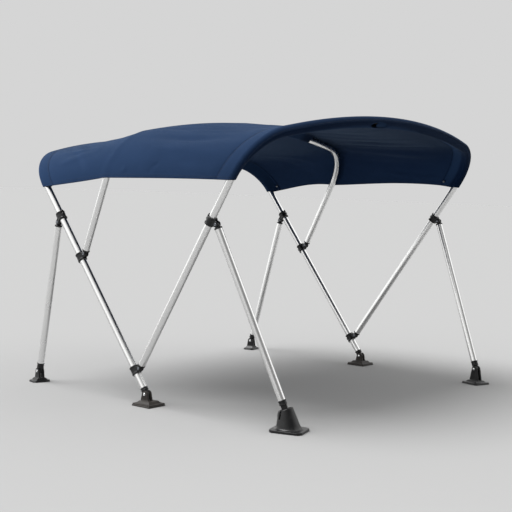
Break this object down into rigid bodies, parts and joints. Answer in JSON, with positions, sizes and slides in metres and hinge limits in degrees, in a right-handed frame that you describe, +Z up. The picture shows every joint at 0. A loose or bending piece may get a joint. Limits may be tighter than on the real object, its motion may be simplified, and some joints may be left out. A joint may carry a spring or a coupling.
{
  "type": "bimini top on a folding tubular bow frame",
  "caption": "Navy cloth sun canopy stretched over curved aluminium tube bows, with end pockets, side braces, jaw slides and hinged feet on flat pads.",
  "frame": {"origin": "centre of the bounding box, on the surface that the pads rest on", "axes": "+X along the canopy from the low main bow at the left to the end bow at the right, +Y across the canopy from the near side to the far side, +Z up"},
  "size_m": [1.1383, 1.2524, 0.8698],
  "materials": {
    "canopy_cloth": "matt woven, navy",
    "lining_cloth": "matt woven, dark navy",
    "tube": "polished",
    "black_plastic": "moulded, satin",
    "stainless": "bright"
  },
  "bodies": {
    "root": {"bow_main": "tube", "bow_middle": "tube", "bow_end_near": "tube", "bow_end_far": "tube", "bow_end_coupling": "black_plastic", "jaw_left_brace_near": "black_plastic", "jaw_pin_left_brace_near": "stainless", "jaw_eye_left_brace_near": "black_plastic", "jaw_middle_bow_near": "black_plastic", "jaw_pin_middle_bow_near": "stainless", "jaw_eye_middle_bow_near": "black_plastic", "jaw_end_bow_near": "black_plastic", "jaw_pin_end_bow_near": "stainless", "jaw_eye_end_bow_near": "black_plastic", "jaw_right_brace_near": "black_plastic", "jaw_pin_right_brace_near": "stainless", "jaw_eye_right_brace_near": "black_plastic", "brace_left_near": "tube", "brace_right_near": "tube", "foot_eye_left_near": "black_plastic", "foot_base_left_near": "black_plastic", "foot_pin_left_near": "stainless", "foot_eye_main_near": "black_plastic", "foot_base_main_near": "black_plastic", "foot_pin_main_near": "stainless", "foot_eye_right_near": "black_plastic", "foot_base_right_near": "black_plastic", "foot_pin_right_near": "stainless", "jaw_left_brace_far": "black_plastic", "jaw_pin_left_brace_far": "stainless", "jaw_eye_left_brace_far": "black_plastic", "jaw_middle_bow_far": "black_plastic", "jaw_pin_middle_bow_far": "stainless", "jaw_eye_middle_bow_far": "black_plastic", "jaw_end_bow_far": "black_plastic", "jaw_pin_end_bow_far": "stainless", "jaw_eye_end_bow_far": "black_plastic", "jaw_right_brace_far": "black_plastic", "jaw_pin_right_brace_far": "stainless", "jaw_eye_right_brace_far": "black_plastic", "brace_left_far": "tube", "brace_right_far": "tube", "foot_eye_left_far": "black_plastic", "foot_base_left_far": "black_plastic", "foot_pin_left_far": "stainless", "foot_eye_main_far": "black_plastic", "foot_base_main_far": "black_plastic", "foot_pin_main_far": "stainless", "foot_eye_right_far": "black_plastic", "foot_base_right_far": "black_plastic", "foot_pin_right_far": "stainless", "canopy": "canopy_cloth", "pocket_left": "lining_cloth", "pocket_right": "lining_cloth", "middle_sleeve": "lining_cloth", "snap_left_near": "stainless", "snap_right_near": "stainless", "snap_left_far": "stainless", "snap_right_far": "stainless"}
  },
  "joints": []
}
